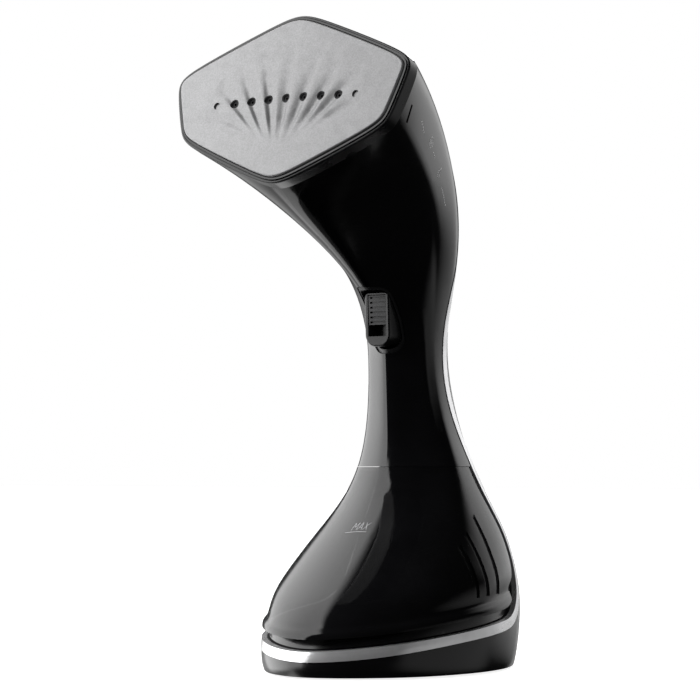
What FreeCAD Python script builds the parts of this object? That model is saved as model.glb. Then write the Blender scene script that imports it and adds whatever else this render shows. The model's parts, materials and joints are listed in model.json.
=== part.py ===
"""Handheld garment steamer with a docked water tank, in millimetres.

Frame: +Z up, the steam plate faces -Y, the object is symmetric about X = 0 and
stands on Z = 0 with the origin at the centre of its anti-slip pad.

The outer form is one closed B-spline surface through the STATIONS below. The
housings, the trim band and the tank are cut out of that form by walls drawn in
side view. Everything mechanical is drawn as its own body and sized by the sheet.
"""
import FreeCAD, Part
import math
import os
import Sketcher

V = FreeCAD.Vector
X_AXIS = V(1, 0, 0)
Z_AXIS = V(0, 0, 1)
REACH = 200.0  # half-width of a cutter that has to pass the whole object

doc = FreeCAD.newDocument("garment_steamer")

# ---------------------------------------------------------------- driving dimensions

SIZES = {
    # shells
    "wall": 2.2,
    "seam": 0.2,
    "floorLift": 0.8,
    "floorThick": 2.2,
    "handleSeam": 91.0,
    "bandProud": 0.3,
    # steam plate and head
    "plateTilt": 15.8,
    "plateY": -89.5,
    "plateZ": 248.7,
    "plateThick": 3.2,
    "bezelDepth": 8.0,
    "bezelOutset": 2.6,
    "portPitch": 8.9,
    "portSag": 1.2,
    "portRadius": 2.1,
    "portBore": 0.6,
    "castingDepth": 14.0,
    "coverThick": 1.5,
    "elementRadius": 3.3,
    "screwRadius": 1.5,
    "screwHead": 2.8,
    # trigger
    "triggerY": -15.4,
    "triggerZ": 157.9,
    "triggerLean": 92.4,
    "triggerHalf": 6.6,
    "triggerTop": 11.9,
    "triggerChin": -13.0,
    "triggerBack": -15.5,
    "pinRadius": 1.25,
    "pinAlong": 8.6,
    "pinDepth": -9.5,
    "runningFit": 0.05,
    "sliderHalf": 4.5,
    "sliderLow": -3.1,
    "sliderHigh": 10.2,
    # pump and hoses
    "pumpRadius": 8.9,
    "pumpHeight": 26.0,
    "hoseRadius": 2.6,
    "hoseBore": 1.5,
    "barbRadius": 1.45,
    # tank dock
    "spigotRadius": 5.0,
    "spigotBore": 3.6,
    "valveZ": 46.0,
    # cord gland
    "glandRadius": 5.0,
    "glandBore": 3.4,
    "glandZ": 8.2,
    # pad
    "padHalf": 26.0,
    "padLong": 44.0,
}

sheet = doc.addObject("Spreadsheet::Sheet", "Sizes")
for row, (alias, number) in enumerate(SIZES.items(), start=1):
    sheet.set("A%d" % row, alias)
    sheet.set("B%d" % row, str(number))
    sheet.setAlias("B%d" % row, alias)
doc.recompute()


class Dim:
    """A length together with the sheet expression that drives it."""

    def __init__(self, value, text=None):
        self.value = float(value)
        self.text = text or repr(float(value))

    def join(self, other, sign, value):
        return Dim(value, "(%s %s %s)" % (self.text, sign, as_dim(other).text))

    def __add__(self, other):
        return self.join(other, "+", self.value + as_dim(other).value)

    def __sub__(self, other):
        return self.join(other, "-", self.value - as_dim(other).value)

    def __mul__(self, other):
        return self.join(other, "*", self.value * as_dim(other).value)

    def __neg__(self):
        return Dim(-self.value, "(0 - %s)" % self.text)


def as_dim(thing):
    return thing if isinstance(thing, Dim) else Dim(thing)


def size(alias):
    return Dim(sheet.get(alias), "Sizes.%s" % alias)


def mm(alias):
    return float(sheet.get(alias))


# ---------------------------------------------------------------- frames

HEAD = FreeCAD.Placement(V(0, mm("plateY"), mm("plateZ")),
                         FreeCAD.Rotation(X_AXIS, 90 - mm("plateTilt")))
TRIGGER = FreeCAD.Placement(V(0, mm("triggerY"), mm("triggerZ")),
                            FreeCAD.Rotation(X_AXIS, mm("triggerLean")))


def at(x, y, z, axis=X_AXIS, angle=0.0):
    return FreeCAD.Placement(V(x, y, z), FreeCAD.Rotation(axis, angle))


# ---------------------------------------------------------------- sub-part registry

parts_made = []


def keep(thing, label):
    """Name an object as a sub-part that is exported."""
    thing.Label = label
    parts_made.append(thing)
    return thing


def feature(label, shape, placement=None):
    """A sub-part whose free-form shape comes from Part functions."""
    thing = doc.addObject("Part::Feature", label)
    thing.Shape = shape
    if placement is not None:
        thing.Placement = placement
    return keep(thing, label)


# ---------------------------------------------------------------- sketched bodies

def origin_plane(body, role):
    for item in body.Origin.OriginFeatures:
        if item.Role == role:
            return item
    raise ValueError("no plane %s" % role)


def new_sketch(body, name, role):
    sketch = body.newObject("Sketcher::SketchObject", name)
    sketch.AttachmentSupport = [(origin_plane(body, role), "")]
    sketch.MapMode = "FlatFace"
    return sketch


def pin_coordinate(sketch, geo, point, kind, distance):
    """Hold one coordinate of a sketch point at a sheet-driven distance."""
    if abs(distance.value) < 1e-9:
        axis_line = -2 if kind == "DistanceX" else -1
        sketch.addConstraint(Sketcher.Constraint("PointOnObject", geo, point, axis_line))
        return
    index = sketch.addConstraint(Sketcher.Constraint(kind, -1, 1, geo, point, distance.value))
    if "Sizes" in distance.text:
        sketch.setExpression("Constraints[%d]" % index, distance.text)


def draw_polygon(sketch, points):
    """A closed outline through points whose coordinates are Dims or numbers."""
    spots = [(as_dim(x), as_dim(y)) for x, y in points]
    first = sketch.GeometryCount
    count = len(spots)
    for i, (x, y) in enumerate(spots):
        nx, ny = spots[(i + 1) % count]
        sketch.addGeometry(Part.LineSegment(V(x.value, y.value, 0), V(nx.value, ny.value, 0)), False)
    for i in range(count):
        ahead = first + (i + 1) % count
        sketch.addConstraint(Sketcher.Constraint("Coincident", first + i, 2, ahead, 1))
    for i, (x, y) in enumerate(spots):
        pin_coordinate(sketch, first + i, 1, "DistanceX", x)
        pin_coordinate(sketch, first + i, 1, "DistanceY", y)


def draw_circle(sketch, x, y, radius):
    x, y, radius = as_dim(x), as_dim(y), as_dim(radius)
    geo = sketch.addGeometry(Part.Circle(V(x.value, y.value, 0), Z_AXIS, radius.value), False)
    pin_coordinate(sketch, geo, 3, "DistanceX", x)
    pin_coordinate(sketch, geo, 3, "DistanceY", y)
    index = sketch.addConstraint(Sketcher.Constraint("Radius", geo, radius.value))
    if "Sizes" in radius.text:
        sketch.setExpression("Constraints[%d]" % index, radius.text)


def new_body(label, placement):
    body = doc.addObject("PartDesign::Body", label)
    if placement is not None:
        body.Placement = placement
    return body


def turned(label, profile, placement=None, exported=True):
    """A body turned about its own Z axis from (radius, height) points."""
    body = new_body(label, placement)
    sketch = new_sketch(body, label + "_profile", "XZ_Plane")
    draw_polygon(sketch, profile)
    turn = body.newObject("PartDesign::Revolution", label + "_turn")
    turn.Profile = sketch
    turn.ReferenceAxis = (sketch, ["V_Axis"])
    turn.Angle = 360
    doc.recompute()
    return keep(body, label) if exported else body


def padded(label, height, outline=None, circles=(), placement=None, role="XY_Plane", exported=True):
    """A body padded from one outline, with any round holes inside it."""
    body = new_body(label, placement)
    sketch = new_sketch(body, label + "_outline", role)
    if outline:
        draw_polygon(sketch, outline)
    for x, y, radius in circles:
        draw_circle(sketch, x, y, radius)
    pad = body.newObject("PartDesign::Pad", label + "_pad")
    pad.Profile = sketch
    height = as_dim(height)
    pad.Length = height.value
    if "Sizes" in height.text:
        pad.setExpression("Length", height.text)
    doc.recompute()
    return keep(body, label) if exported else body


def pocket(body, name, depth, outline=None, circles=(), lift=0.0):
    """Cut a pocket down into a padded body from a plane lifted above its XY plane."""
    before = body.Shape.Volume
    sketch = new_sketch(body, name, "XY_Plane")
    sketch.AttachmentOffset = at(0, 0, lift)
    if outline:
        draw_polygon(sketch, outline)
    for x, y, radius in circles:
        draw_circle(sketch, x, y, radius)
    cut = body.newObject("PartDesign::Pocket", name + "_cut")
    cut.Profile = sketch
    cut.Length = depth
    doc.recompute()
    if body.Shape.Volume > before - 1e-6:
        raise ValueError("%s removes nothing" % name)
    return cut


def rectangle(x0, x1, y0, y1):
    return [(x0, y0), (x1, y0), (x1, y1), (x0, y1)]


def copies(body, placements):
    """Separate solids of one piece, as one group."""
    shapes = []
    for placement in placements:
        shape = body.Shape.copy()
        shape.Placement = placement
        shapes.append(shape)
    return Part.makeCompound(shapes)


def bound_box(name, x, y, z, spot=None):
    box = doc.addObject("Part::Box", name)
    for prop, length in (("Length", x), ("Width", y), ("Height", z)):
        length = as_dim(length)
        setattr(box, prop, length.value)
        if "Sizes" in length.text:
            box.setExpression(prop, length.text)
    if spot is not None:
        box.Placement = spot
    return box


def bound_cylinder(name, radius, height, spot=None):
    rod = doc.addObject("Part::Cylinder", name)
    for prop, length in (("Radius", radius), ("Height", height)):
        length = as_dim(length)
        setattr(rod, prop, length.value)
        if "Sizes" in length.text:
            rod.setExpression(prop, length.text)
    if spot is not None:
        rod.Placement = spot
    return rod


def cut_from(name, base, tool):
    cut = doc.addObject("Part::Cut", name)
    cut.Base = base
    cut.Tool = tool
    return cut


def coil(radius, wire, height, turns, placement):
    """A compression spring with its wire centred on a helix."""
    helix = Part.makeHelix((height - 2 * wire) / turns, height - 2 * wire, radius)
    start = V(radius, 0, 0)
    profile = Part.Wire([Part.makeCircle(wire, start, V(0, 1, 0))])
    spring = Part.Wire(helix.Edges).makePipeShell([profile], True, True)
    spring.translate(V(0, 0, wire))
    spring.Placement = placement.multiply(spring.Placement)
    return spring


# ---------------------------------------------------------------- the outer form

# Each station is a rounded hexagon across the object, given by its front point
# (y, z), its two right-hand corners (x, y, z), its rear point (y, z), how far the
# corner rounding reaches along each side, and how much each side bulges.
STATIONS = [
    ((-77.5, 0), (44, -41.5, 0), (42, 38, 0), (66, 0), 0.33, 0.10),
    ((-79, 6), (45, -42, 7), (43, 39, 8), (67.5, 8), 0.33, 0.10),
    ((-78, 14), (45.5, -41, 18), (43.2, 42, 21), (68.5, 22), 0.33, 0.10),
    ((-69, 27), (45, -34, 32), (42.3, 43.5, 36), (67.5, 38), 0.33, 0.10),
    ((-53.5, 43), (43, -22.5, 47), (38.8, 43, 50), (65, 52), 0.33, 0.10),
    ((-35, 58), (38.5, -9.5, 61), (34.2, 42, 64), (59.5, 66), 0.33, 0.09),
    ((-16.5, 74), (31.8, 2.5, 75), (27.4, 39, 77), (52.5, 79), 0.30, 0.07),
    ((-7, 91), (25.5, 9, 91), (22.2, 33.6, 91), (46, 91), 0.26, 0.05),
    ((-7.5, 112), (19, 6, 112), (17.4, 27.2, 112), (38.5, 112), 0.24, 0.04),
    ((-8.5, 136), (16, 2.5, 136), (15.5, 21, 136), (31.5, 136), 0.24, 0.03),
    ((-10, 155), (17, 2, 158), (16.5, 20, 160), (31.3, 160), 0.24, 0.03),
    ((-31, 172), (23.5, -6.5, 186.5), (21, 24, 187), (38, 190), 0.24, 0.03),
    ((-59.5, 188), (38, -31, 210), (33, 2, 222), (27, 228), 0.22, 0.03),
    ((-86, 201), (47.5, -65, 225), (47.5, -43, 252), (-18, 266), 0.20, 0.03),
]
# The bottom edge is eased: the same outline drawn in, then out again.
BASE_EASING = [(0.0, 2.4), (0.0, 0.9), (1.6, 0.0)]

# The tank stands inside the form and has its own foot: a lip, then a drawn-in skirt.
# Each step is (height above the lip plane, inset).
LIP_PLANE_Z = 15.0
LIP_PLANE_FRONT = -78.0
LIP_PLANE_SLOPE = 0.13
TANK_FOOT = [(0.0, 0.3), (2.6, 0.2), (4.4, 0.6), (6.0, 2.6), (7.6, 3.0)]
SKIRT_TOP = ((-68.5, 31), (44.2, -34, 36.5), (41.2, 42, 43.5), (66.3, 46.5), 0.33, 0.10)
TANK_INSET = 0.3

# The steam plate's outline in the head frame: bottom, lower corner, upper corner, top.
PLATE = [(0, -37.2), (50.4, -14), (58, 12.3), (0, 37.4)]
PLATE_HALF_HEIGHT = 37.3
PLATE_ROUNDING = 0.18
PLATE_BULGE = 0.02
SIDES = 6


def hexagon(front, low, high, rear):
    """The six corners, right side given, left side mirrored."""
    left = [V(-p.x, p.y, p.z) for p in (high, low)]
    return [front, low, high, rear] + left


def ring(corners, rounding, bulge, inset):
    """Eighteen poles of a closed cubic curve that hugs a hexagon."""
    centre = V(0, 0, 0)
    for corner in corners:
        centre = centre + corner * (1.0 / SIDES)
    poles = []
    for i, corner in enumerate(corners):
        for other in (corners[i - 1], None, corners[(i + 1) % SIDES]):
            if other is None:
                poles.append(corner)
                continue
            side = other - corner
            along = V(side).normalize()
            middle = (corner + other) * 0.5 - centre
            outward = (middle - along * middle.dot(along)).normalize()
            poles.append(corner + side * rounding + outward * (bulge * side.Length))
    moved = []
    for i, pole in enumerate(poles):
        along = (poles[(i + 1) % len(poles)] - poles[i - 1]).normalize()
        inward = centre - pole
        inward = (inward - along * inward.dot(along)).normalize()
        moved.append(pole + inward * inset)
    return moved


def station_ring(station, inset, lift=0.0):
    front, low, high, rear, rounding, bulge = station
    up = V(0, 0, lift)
    corners = hexagon(V(0, *front), V(*low), V(*high), V(0, *rear))
    return ring([c + up for c in corners], rounding, bulge, inset)


def plate_ring(outset, depth, placement=None, shrink=0.0):
    """The plate's outline at a depth, first scaled in by shrink, then moved out by outset."""
    scale = 1 - shrink / PLATE_HALF_HEIGHT
    points = [V(x * scale, v * scale, depth) for x, v in PLATE]
    if placement is not None:
        points = [placement.multVec(p) for p in points]
    return ring(hexagon(*points), PLATE_ROUNDING, PLATE_BULGE, -outset)


def closed_surface(rings):
    """A solid skinned through rings of poles, closed by a flat face at each end."""
    around = len(rings[0])
    along = len(rings)
    poles = [[rings[j][i] for j in range(along)] for i in range(around)]
    surface = Part.BSplineSurface()
    surface.buildFromPolesMultsKnots(poles, [1] * (around + 1), [4] + [1] * (along - 4) + [4],
                                     list(range(around + 1)), list(range(along - 2)),
                                     True, False, 3, 3)
    faces = [surface.toShape()]
    for level in (0, along - 3):
        faces.append(Part.Face(Part.Wire([surface.vIso(level).toShape()])))
    shell = Part.makeShell(faces)
    shell.sewShape()
    solid = Part.Solid(shell)
    if solid.Volume < 0:
        solid.reverse()
    return solid


def body_form(inset):
    """The whole outer form, drawn in by inset."""
    rings = [station_ring(STATIONS[0], inset + ease, lift) for lift, ease in BASE_EASING]
    rings += [station_ring(station, inset) for station in STATIONS[1:]]
    rings.append(plate_ring(mm("bezelOutset") - inset, -mm("bezelDepth"), HEAD))
    return closed_surface(rings)


def lip_height(y):
    return LIP_PLANE_Z + LIP_PLANE_SLOPE * (y - LIP_PLANE_FRONT)


def foot_station(height):
    """The lip outline, on a plane that rises towards the rear."""
    front, low, high, rear, rounding, bulge = STATIONS[2]
    return ((front[0], lip_height(front[0]) + height),
            (low[0], low[1], lip_height(low[1]) + height),
            (high[0], high[1], lip_height(high[1]) + height),
            (rear[0], lip_height(rear[0]) + height), rounding, bulge)


def tank_form(inset):
    """The tank's outside, drawn in by inset: lip, skirt and bulb."""
    rings = [station_ring(foot_station(height), inset + step) for height, step in TANK_FOOT]
    rings += [station_ring(station, inset + TANK_INSET) for station in [SKIRT_TOP] + STATIONS[4:9]]
    return closed_surface(rings)


# ---------------------------------------------------------------- walls drawn in side view

# Edges of the trim band in side view (y, z), from the front of the base, along its
# side, round the rear corner and up to the steam plate.
BAND_INNER = [(-90, 10.2), (-75, 12), (-47, 16.2), (-15, 20), (8, 22.6), (19.5, 25.2), (27, 31.5),
              (30.8, 41), (31.8, 53), (30.5, 68), (26.5, 91), (20.3, 109), (15.8, 125), (14.2, 140),
              (15.4, 158), (18.4, 173), (19.6, 186), (12, 204), (-3, 223.5), (-22, 240),
              (-45, 251.3), (-62, 257), (-95, 265)]
BAND_OUTER = [(-90, 5.7), (-75, 7.5), (-47, 11.8), (-15, 15.6), (9.5, 18), (23, 21.2), (32, 28.4),
              (36.3, 40), (37.2, 53.5), (35.8, 68.8), (31, 92.2), (24.4, 110.3), (19.8, 126),
              (18.2, 140), (19.4, 157.3), (22.4, 172.2), (23.4, 187.2), (15, 206.2), (-0.6, 225.9),
              (-20.3, 242.6), (-43.8, 254), (-61, 259.8), (-95, 268.2)]
# Where the clear tank meets its black carrier.
TANK_SPLIT = [(-90, 15.2), (-75, 17), (-47, 21.2), (-15, 25), (8.5, 27.6), (18, 30.2), (23.8, 35.6),
              (27.3, 44), (28.6, 54), (27.6, 68), (23.4, 91)]


def shifted(points, distance):
    """The same line moved sideways, to the left of its direction of travel."""
    moved = []
    for i, (y, z) in enumerate(points):
        y0, z0 = points[max(i - 1, 0)]
        y1, z1 = points[min(i + 1, len(points) - 1)]
        run = math.hypot(y1 - y0, z1 - z0)
        moved.append((y - distance * (z1 - z0) / run, z + distance * (y1 - y0) / run))
    return moved


def side_curve(points):
    curve = Part.BSplineCurve()
    curve.interpolate([V(-REACH, y, z) for y, z in points])
    return curve.toShape()


def side_prism(*pieces):
    """A cutter across the whole width, bounded in side view by curves and straight runs.

    Each piece is ("curve", points) or ("line", points); the next piece starts where
    the last one ends, and a straight run closes the outline.
    """
    edges = []
    start = None
    last = None
    for kind, points in pieces:
        if last is not None and math.dist(last, points[0]) > 1e-6:
            edges.append(Part.makeLine(V(-REACH, *last), V(-REACH, *points[0])))
        if kind == "curve":
            edges.append(side_curve(points))
        else:
            for a, b in zip(points, points[1:]):
                edges.append(Part.makeLine(V(-REACH, *a), V(-REACH, *b)))
        if start is None:
            start = points[0]
        last = points[-1]
    edges.append(Part.makeLine(V(-REACH, *last), V(-REACH, *start)))
    face = Part.Face(Part.Wire(Part.__sortEdges__(edges)))
    return face.extrude(V(2 * REACH, 0, 0))


def trimmed_above(points, level):
    """The part of a rising line above a level, starting exactly on it."""
    for i, (y, z) in enumerate(points):
        if z > level:
            y0, z0 = points[i - 1]
            share = (level - z0) / (z - z0)
            return [(y0 + share * (y - y0), level)] + points[i:]
    raise ValueError("the line never rises above %s" % level)


def trimmed_below(points, level):
    flipped = [(y, -z) for y, z in reversed(points)]
    return [(y, -z) for y, z in reversed(trimmed_above(flipped, -level))]


def slab(z_low, z_high):
    return Part.makeBox(2 * REACH, 2 * REACH, z_high - z_low, V(-REACH, -REACH, z_low))


outer_form = body_form(0.0)
inner_form = body_form(mm("wall"))
shell_form = outer_form.cut(inner_form)
seam_half = mm("seam") / 2
handle_floor = mm("handleSeam") + seam_half

# ---------------------------------------------------------------- trigger outlines

def rounded_prism(half, low, high, low_round, high_round, n_low, n_high):
    """A prism along the trigger's own normal, with a rounded chin and rounded top corners."""
    spots = []
    for x, y, radius in ((half, low, low_round), (half, high, high_round),
                         (-half, high, high_round), (-half, low, low_round)):
        spots.append((V(x, y, n_low), radius))
    edges = []
    count = len(spots)
    ends = []
    for i, (corner, radius) in enumerate(spots):
        before = (spots[i - 1][0] - corner).normalize()
        after = (spots[(i + 1) % count][0] - corner).normalize()
        inner = corner + (before + after) * radius
        middle = inner - (before + after).normalize() * radius
        first = corner + before * radius
        second = corner + after * radius
        edges.append(Part.Arc(first, middle, second).toShape())
        ends.append((first, second))
    for i in range(count):
        edges.append(Part.makeLine(ends[i][1], ends[(i + 1) % count][0]))
    face = Part.Face(Part.Wire(Part.__sortEdges__(edges)))
    prism = face.extrude(V(0, 0, n_high - n_low))
    prism.Placement = TRIGGER
    return prism


def local_box(placement, x0, x1, y0, y1, z0, z1):
    box = Part.makeBox(x1 - x0, y1 - y0, z1 - z0, V(x0, y0, z0))
    box.Placement = placement
    return box


half = mm("triggerHalf")
top = mm("triggerTop")
chin = mm("triggerChin")
SURROUND_GAP = 0.45
CHIN_GAP = 1.2
SURROUND_WIDE = 1.9

# ---------------------------------------------------------------- housings

band_zone = side_prism(("curve", BAND_INNER), ("curve", BAND_OUTER[::-1]))
recess_cutter = rounded_prism(half + SURROUND_WIDE + 0.1, chin - CHIN_GAP - 1.9, top + SURROUND_WIDE,
                              7.0, 3.6, -19, 20)


def clip_slots():
    """Two slanted slots, one per side, where an accessory clips on behind the rim."""
    slots = []
    for side in (-1, 1):
        slot = Part.makeBox(30, 7.5, 1.9, V(-15, -3.75, -0.95))
        slot.Placement = HEAD.multiply(at(side * 54, -5.5, -15.5, X_AXIS, 12))
        slots.append(slot)
    return slots[0].fuse(slots[1])


def front_housing():
    """Glossy front and sides of the head and handle, open at the plate and the seam."""
    edge = trimmed_above(shifted(BAND_INNER, seam_half), handle_floor)
    region = side_prism(("curve", edge), ("line", [(-REACH, edge[-1][1]), (-REACH, handle_floor)]))
    shell = shell_form.common(region)
    shell = shell.cut(recess_cutter)
    slots = clip_slots().common(outer_form.cut(body_form(1.5)))
    return shell.cut(slots)


def rear_cover():
    """Back shell behind the band, from above the base to the top of the head."""
    edge = [p for p in shifted(BAND_OUTER, -seam_half) if p[1] > 28.5]
    foot = [(28.5, 25.4), (34.5, 18.2), (39.5, 14.2), (REACH, 14.2)]
    region = side_prism(("curve", edge), ("line", [(-95, 330), (REACH, 330)] + foot[::-1]))
    return shell_form.common(region).cut(band_zone)


def base_housing():
    """Skirt of the base below the band."""
    edge = [p for p in shifted(BAND_OUTER, -seam_half) if p[1] < 22]
    foot = [(28.2, 25.1), (34.2, 18.0), (39.3, 14.0), (REACH, 14.0)]
    region = side_prism(("curve", edge), ("line", foot + [(REACH, -5), (-90, -5)]))
    ring_wall = shell_form.common(region).cut(slab(-5, mm("floorLift"))).cut(band_zone)
    gland_hole = Part.makeCylinder(mm("glandRadius"), 40, V(0, 50, mm("glandZ")), V(0, 1, 0))
    return ring_wall.cut(gland_hole)


def trim_band():
    """One bright strip round the base front, along both sides and up both rear edges."""
    inner = shifted(BAND_INNER, -seam_half)
    outer = shifted(BAND_OUTER, seam_half)
    region = side_prism(("curve", inner), ("curve", outer[::-1]))
    proud = body_form(-mm("bandProud")).cut(inner_form)
    return proud.common(region)


def largest(shape):
    return max(shape.Solids, key=lambda solid: solid.Volume)


feature("front_housing", largest(front_housing()))
feature("rear_cover", largest(rear_cover()))
feature("base_housing", largest(base_housing()))
feature("trim_band", largest(trim_band()))
doc.recompute()


floor_low = mm("floorLift")
floor_high = floor_low + mm("floorThick")
BASE_SCREWS = [(-27, -34), (27, -34), (-31, 14), (31, 14)]


def tank_dock():
    """Inner cradle: a shelf under the tank, a wall behind it and a roof under the handle."""
    lining = body_form(mm("wall") + 0.15)
    thick = 2.2
    front = trimmed_below(BAND_INNER, handle_floor)
    back = shifted(front, -thick)
    roof = handle_floor + thick
    region = side_prism(("curve", front), ("line", [(-60, handle_floor), (-60, roof), (back[-1][0], roof)]),
                        ("curve", back[::-1]))
    dock = lining.common(region)
    hole = Part.makeCylinder(8.2, 20, V(0, 24, mm("valveZ")), V(0, 1, 0))
    underside = [(REACH, front[9][1]), (REACH, -5), (-90, -5)]
    below = side_prism(("curve", shifted(front[:10], -1.0)), ("line", underside))
    for x, y in BASE_SCREWS:
        boss = Part.makeCylinder(3.4, 40, V(x, y, floor_high + 0.1), Z_AXIS).common(below)
        dock = dock.fuse(boss).cut(Part.makeCylinder(1.45, 9, V(x, y, floor_high - 1), Z_AXIS))
    return dock.cut(hole)


feature("tank_dock", largest(tank_dock()))

# ---------------------------------------------------------------- water tank

TANK_GAP = 0.5
CARRIER_WALL = 2.0
tank_outer = tank_form(0.0)
tank_inner = tank_form(2.0)
tank_top = mm("handleSeam") - seam_half
valve_z = mm("valveZ")


def tank_region(path, roof, far=-REACH):
    """Everything in front of and above a side-view line, up to a flat roof."""
    line = trimmed_below(path, roof)
    return side_prism(("curve", line), ("line", [(far, roof), (far, line[0][1])]))


def dock_line(gap):
    return shifted(BAND_INNER, gap)


def grip_grooves():
    """Three tapering finger grooves on the right flank, their tops cut along a slope."""
    grooves = []
    for foot_y, foot_z, top_y, top_z in ((-10.6, 33.5, -9.9, 55.2), (-2.4, 34.0, -3.0, 60.0),
                                         (7.3, 34.5, 8.1, 67.7)):
        lean = math.hypot(top_y - foot_y, top_z - foot_z)
        across = V(0, (top_z - foot_z) / lean, -(top_y - foot_y) / lean)
        foot_mid = V(0, foot_y, foot_z)
        top_mid = V(0, top_y, top_z)
        outline = [foot_mid - across * 1.7, foot_mid + across * 1.7,
                   top_mid + across * 1.3 + V(0, 0, 2.2), top_mid - across * 1.3]
        face = Part.Face(Part.makePolygon(outline + outline[:1]))
        grooves.append(face.extrude(V(REACH, 0, 0)))
    return grooves[0].fuse(grooves[1:])


# Filler flap on the left flank. Its frame's Z points out of the tank and its -X points
# down the flank, to the hinge.
FLAP = at(-42.4, 15.0, 58.0, V(0, 1, 0), -64.6)
NECK_RADIUS = 6.0
PAD_RADIUS = 11.5
PAD_TOP = 0.6
FLAP_RADIUS = 10.0
FLAP_LIFT = 0.9
FLAP_THICK = 1.8
FLAP_PIN_X = -11.2
FLAP_PIN_Z = 1.7
FLAP_PIN_RADIUS = 0.8
KNUCKLE_RADIUS = 1.6
KNUCKLE_HALF = 6.2
EAR_HALF = 6.6
EAR_THICK = 2.0


def in_flap(shape):
    shape.Placement = FLAP.multiply(shape.Placement)
    return shape


def flap_pin_rod(radius, half_length):
    start = V(FLAP_PIN_X, -half_length, FLAP_PIN_Z)
    return in_flap(Part.makeCylinder(radius, 2 * half_length, start, V(0, 1, 0)))


def filler_boss():
    """Round flat boss around the filler neck, with two ears for the flap's pin."""
    boss = in_flap(Part.makeCylinder(PAD_RADIUS, 12, V(0, 0, PAD_TOP - 12), Z_AXIS)).cut(tank_inner)
    for side in (-1, 1):
        near = side * EAR_HALF if side > 0 else side * EAR_HALF - EAR_THICK
        ear = in_flap(Part.makeBox(5.4, EAR_THICK, 9.4, V(FLAP_PIN_X - 2.3, near, -6.0)))
        boss = boss.fuse(ear.cut(tank_inner))
    notch = in_flap(Part.makeBox(9.0, 2 * EAR_HALF, 10, V(FLAP_PIN_X - 6.8, -EAR_HALF, -0.4)))
    return boss, notch


def tank_shell():
    """Clear smoked shell: bulb, drawn-in skirt and foot lip, open towards its carrier."""
    outside = tank_region(TANK_SPLIT, tank_top)
    inside = tank_region(shifted(TANK_SPLIT, -3.0), tank_top - 2.0)
    wall = tank_outer.common(outside).cut(tank_inner.common(inside))
    wall = wall.cut(grip_grooves().cut(tank_form(0.9)))
    boss, notch = filler_boss()
    wall = wall.fuse(boss)
    neck = in_flap(Part.makeCylinder(NECK_RADIUS, 30, V(0, 0, -20), Z_AXIS))
    return wall.cut(neck).cut(notch).cut(flap_pin_rod(FLAP_PIN_RADIUS, 20))


def tank_carrier():
    """Black tray and back plate that close the tank and meet the dock."""
    whole = tank_region(dock_line(TANK_GAP), tank_top)
    shell_side = tank_region(TANK_SPLIT, tank_top)
    hollow = tank_region(dock_line(TANK_GAP + CARRIER_WALL), tank_top - 2.0)
    outside = body_form(3.2)
    plate = outside.common(whole).cut(shell_side)
    plate = plate.cut(body_form(5.2).common(hollow))
    spigot_hole = Part.makeCylinder(mm("spigotRadius"), 40, V(0, 16, valve_z), V(0, 1, 0))
    return plate.cut(spigot_hole)


feature("tank_shell", largest(tank_shell()))
feature("tank_carrier", largest(tank_carrier()))


def filler_flap():
    """Round flap with a knuckle along its lower edge."""
    disc = in_flap(Part.makeCylinder(FLAP_RADIUS, FLAP_THICK, V(0, 0, FLAP_LIFT), Z_AXIS))
    disc = disc.makeFillet(0.6, [e for e in disc.Edges if e.Closed])
    tab = in_flap(Part.makeBox(3.0, 6.0, 1.4, V(FLAP_RADIUS - 1.5, -3.0, FLAP_LIFT + 0.3)))
    arm = in_flap(Part.makeBox(4.0, 2 * KNUCKLE_HALF, 1.4, V(FLAP_PIN_X, -KNUCKLE_HALF, FLAP_LIFT + 0.3)))
    knuckle = flap_pin_rod(KNUCKLE_RADIUS, KNUCKLE_HALF)
    return disc.fuse([tab, arm, knuckle]).cut(flap_pin_rod(FLAP_PIN_RADIUS + mm("runningFit"), 20))


feature("filler_flap", largest(filler_flap()))
feature("filler_flap_pin", flap_pin_rod(FLAP_PIN_RADIUS, EAR_HALF + EAR_THICK))
filler_seal = turned("filler_seal", [(4.6, 0), (5.1, 0), (5.4, 0.6), (5.4, 2.3), (4.6, 2.3)],
                     FLAP.multiply(at(0, 0, FLAP_LIFT - 2.3)))

# The outlet and its valve lie along +Y; the turned profiles give (radius, distance).
OUTLET_START = 20.8
outlet_frame = at(0, OUTLET_START, valve_z, X_AXIS, -90)
SPIGOT_LONG = 19.0
tank_spigot = turned("tank_spigot", [
    (1.35, 6.5), (size("spigotRadius"), 6.5), (size("spigotRadius"), SPIGOT_LONG),
    (2.4, SPIGOT_LONG), (2.4, SPIGOT_LONG - 1.2), (size("spigotBore"), SPIGOT_LONG - 1.2),
    (size("spigotBore"), 8.5), (1.35, 8.5)], outlet_frame)
pickup_filter = turned("pickup_filter", [
    (0, 0), (size("spigotRadius") + 0.8, 0),
    (size("spigotRadius") + 0.8, 7.4), (size("spigotRadius") + 0.05, 7.4),
    (size("spigotRadius") + 0.05, 6.45), (size("spigotRadius") - 0.2, 6.45),
    (size("spigotRadius") - 0.2, 1.0), (0, 1.0)], outlet_frame)
tank_valve = turned("tank_valve", [
    (0, 5.0), (1.2, 5.0), (1.2, 16.0), (3.3, 16.0),
    (3.3, 16.9), (1.7, 16.9), (1.6, 18.6), (0, 18.6)], outlet_frame)
valve_seal = turned("valve_seal", [(1.9, 17.0), (3.2, 17.0), (3.2, 17.6), (2.0, 17.6)], outlet_frame)
feature("valve_spring", coil(2.4, 0.3, 7.2, 5, outlet_frame.multiply(at(0, 0, 8.65))))


# ---------------------------------------------------------------- trigger group


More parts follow.
